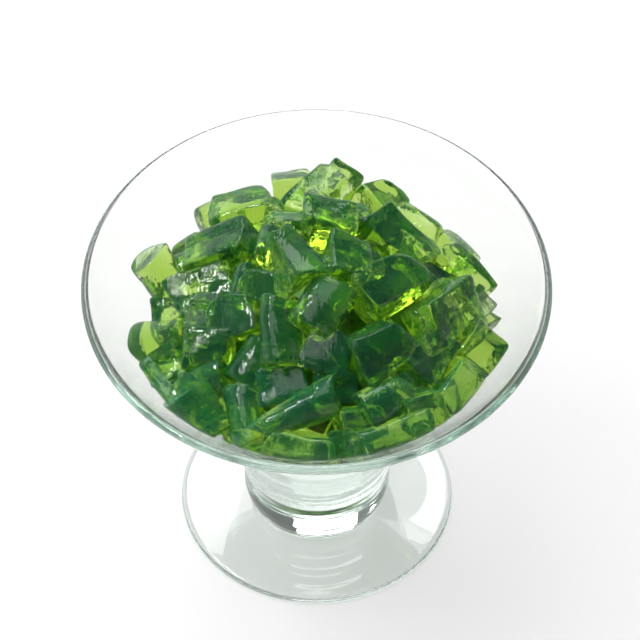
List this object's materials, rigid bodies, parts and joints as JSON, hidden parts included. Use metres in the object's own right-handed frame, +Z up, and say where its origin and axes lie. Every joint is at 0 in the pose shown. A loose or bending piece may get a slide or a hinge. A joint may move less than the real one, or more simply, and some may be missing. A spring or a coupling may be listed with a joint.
{
  "type": "green jelly pieces in a footed glass dish",
  "caption": "Loose cut pieces of translucent green jelly heaped in a clear conical glass dessert dish on a round foot.",
  "frame": {"origin": "middle of the foot's flat underside", "axes": "+Z up, along the dish's axis; -Y is the front, where the heap reaches closest to the rim"},
  "size_m": [0.132, 0.132, 0.1188],
  "materials": {
    "clear_glass": "clear, smooth, faintly green in its thick parts",
    "green_jelly": "wet, glossy, translucent deep green, lime green where it is thin"
  },
  "bodies": {
    "root": {"glass_dish": "clear_glass", "jelly_heap": "green_jelly"}
  },
  "joints": []
}
